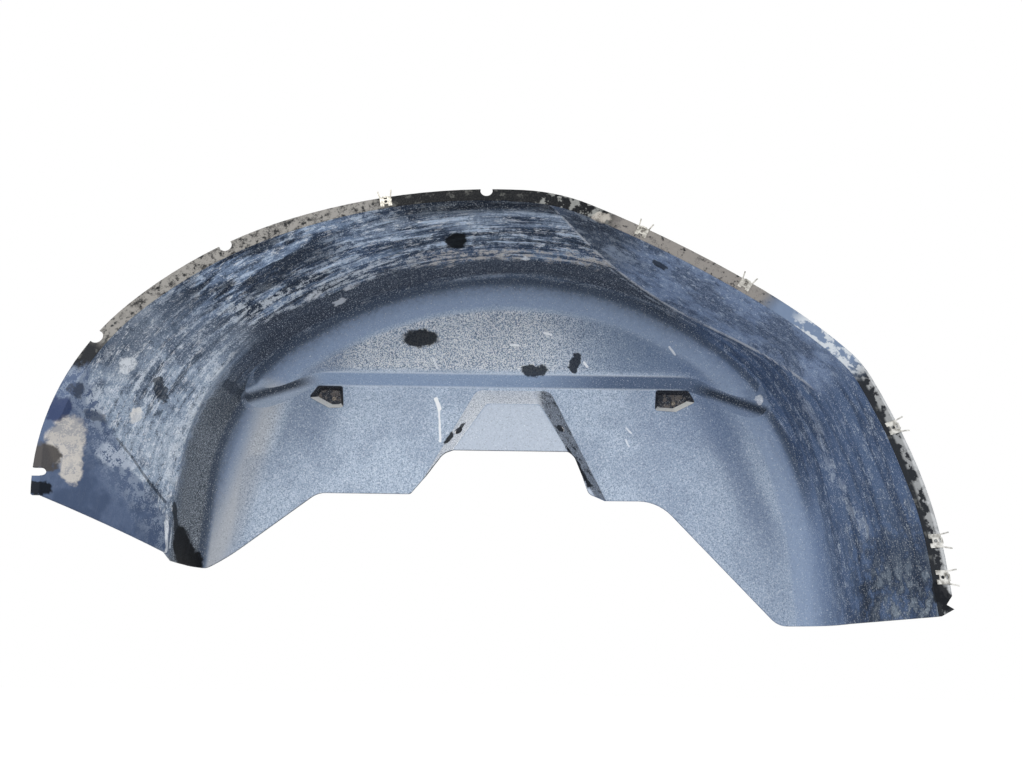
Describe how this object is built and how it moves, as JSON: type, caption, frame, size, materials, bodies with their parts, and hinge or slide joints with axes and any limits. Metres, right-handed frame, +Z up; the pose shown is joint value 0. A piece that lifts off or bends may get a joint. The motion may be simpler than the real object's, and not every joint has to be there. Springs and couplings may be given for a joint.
{
  "type": "wheel arch liner",
  "caption": "Moulded plastic wheel arch liner with a flanged rim, a flared side, a set-back wall panel, screw pockets and spring clips pushed on the flange.",
  "frame": {"origin": "midway between the two wall screw holes, on the plane where the screw pockets seat against the car body", "axes": "+X along the car from the flared side to the barbed end, +Z up as fitted, -Y out of the arch towards the wheel"},
  "size_m": [0.9657, 0.2598, 0.494],
  "materials": {
    "moulded_plastic": "matte black moulding with dried road dust",
    "clip_steel": "zinc plated"
  },
  "bodies": {
    "root": {"liner_shell": "moulded_plastic", "spring_clip_1": "clip_steel", "spring_clip_2": "clip_steel", "spring_clip_3": "clip_steel", "spring_clip_4": "clip_steel", "spring_clip_5": "clip_steel", "spring_clip_6": "clip_steel"}
  },
  "joints": []
}
